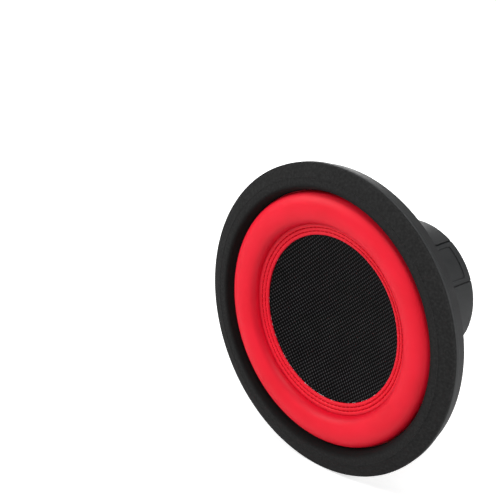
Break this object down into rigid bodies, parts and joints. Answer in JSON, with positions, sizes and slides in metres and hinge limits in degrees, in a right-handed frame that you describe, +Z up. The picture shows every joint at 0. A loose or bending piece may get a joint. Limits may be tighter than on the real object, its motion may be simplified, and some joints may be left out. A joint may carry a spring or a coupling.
{
  "type": "car subwoofer speaker",
  "caption": "Round car subwoofer driver with a foam trim ring, red half-roll surround, black woven dish, pressed open basket and a booted ring magnet.",
  "frame": {"origin": "centre of the bolt circle, in the plane of the flange's rear edge and seal that meets the baffle", "axes": "-Y out of the speaker's front along its axis, +Z up, +X to the right as seen from the front"},
  "size_m": [0.216, 0.1015, 0.216],
  "materials": {
    "basket_steel": "satin black powder coat on pressed steel",
    "trim_foam": "matte black closed-cell foam with a fine grain",
    "seal_foam": "matte black open foam",
    "surround_rubber": "red foam rubber with a satin skin",
    "stitch_thread": "red sewing thread",
    "woven_fibre": "black woven fibre set in resin, satin",
    "cone_paper": "black pressed paper",
    "spider_cloth": "resin-stiffened cotton cloth",
    "former_foil": "bare aluminium foil",
    "coil_wire": "enamelled copper wire",
    "screw_steel": "black zinc plating",
    "plate_steel": "black electro-coated steel",
    "ferrite": "sintered ferrite",
    "mesh_steel": "black perforated steel",
    "boot_rubber": "moulded black rubber, satin",
    "block_plastic": "moulded black ABS",
    "positive_cap": "moulded red ABS",
    "negative_cap": "moulded black ABS",
    "contact_brass": "stamped brass",
    "spring_steel": "bright spring wire",
    "lead_braid": "tinned copper braid"
  },
  "bodies": {
    "frame": {"basket": "basket_steel", "front_gasket": "trim_foam", "rear_gasket": "seal_foam", "plate_screws": "screw_steel", "top_plate": "plate_steel", "magnet_ring": "ferrite", "yoke": "plate_steel", "vent_mesh": "mesh_steel", "magnet_boot": "boot_rubber", "upper_terminal_block": "block_plastic", "upper_terminal_cover": "block_plastic", "upper_terminal_rivets": "screw_steel", "upper_positive_contact": "contact_brass", "upper_positive_spring": "spring_steel", "upper_positive_lead": "lead_braid", "upper_negative_contact": "contact_brass", "upper_negative_spring": "spring_steel", "upper_negative_lead": "lead_braid", "lower_terminal_block": "block_plastic", "lower_terminal_cover": "block_plastic", "lower_terminal_rivets": "screw_steel", "lower_positive_contact": "contact_brass", "lower_positive_spring": "spring_steel", "lower_positive_lead": "lead_braid", "lower_negative_contact": "contact_brass", "lower_negative_spring": "spring_steel", "lower_negative_lead": "lead_braid"},
    "cone_assembly": {"cone_cover": "woven_fibre", "cone_body": "cone_paper", "surround": "surround_rubber", "stitch_row_inner": "stitch_thread", "stitch_row_outer": "stitch_thread", "lead_rivets": "contact_brass", "spider": "spider_cloth", "coil_former": "former_foil", "coil_winding_inner": "coil_wire", "coil_winding_outer": "coil_wire"},
    "upper_positive_push": {"upper_positive_button": "positive_cap"},
    "upper_negative_push": {"upper_negative_button": "negative_cap"},
    "lower_positive_push": {"lower_positive_button": "positive_cap"},
    "lower_negative_push": {"lower_negative_button": "negative_cap"}
  },
  "joints": [
    {"name": "cone_travel", "type": "slide", "parent": "frame", "child": "cone_assembly", "axis": [0, -1, 0], "range_m": [-0.008, 0.008], "stiffness_N_per_m": 4500, "deforming": ["surround", "spider", "upper_positive_lead", "upper_negative_lead", "lower_positive_lead", "lower_negative_lead"]},
    {"name": "upper_positive_press", "type": "slide", "parent": "frame", "child": "upper_positive_push", "axis": [0.3827, 0, -0.9239], "range_m": [0, 0.003], "stiffness_N_per_m": 600, "springref_m": -0.002, "deforming": ["upper_positive_spring"]},
    {"name": "upper_negative_press", "type": "slide", "parent": "frame", "child": "upper_negative_push", "axis": [0.3827, 0, -0.9239], "range_m": [0, 0.003], "stiffness_N_per_m": 600, "springref_m": -0.002, "deforming": ["upper_negative_spring"]},
    {"name": "lower_positive_press", "type": "slide", "parent": "frame", "child": "lower_positive_push", "axis": [-0.3827, 0, 0.9239], "range_m": [0, 0.003], "stiffness_N_per_m": 600, "springref_m": -0.002, "deforming": ["lower_positive_spring"]},
    {"name": "lower_negative_press", "type": "slide", "parent": "frame", "child": "lower_negative_push", "axis": [-0.3827, 0, 0.9239], "range_m": [0, 0.003], "stiffness_N_per_m": 600, "springref_m": -0.002, "deforming": ["lower_negative_spring"]}
  ]
}
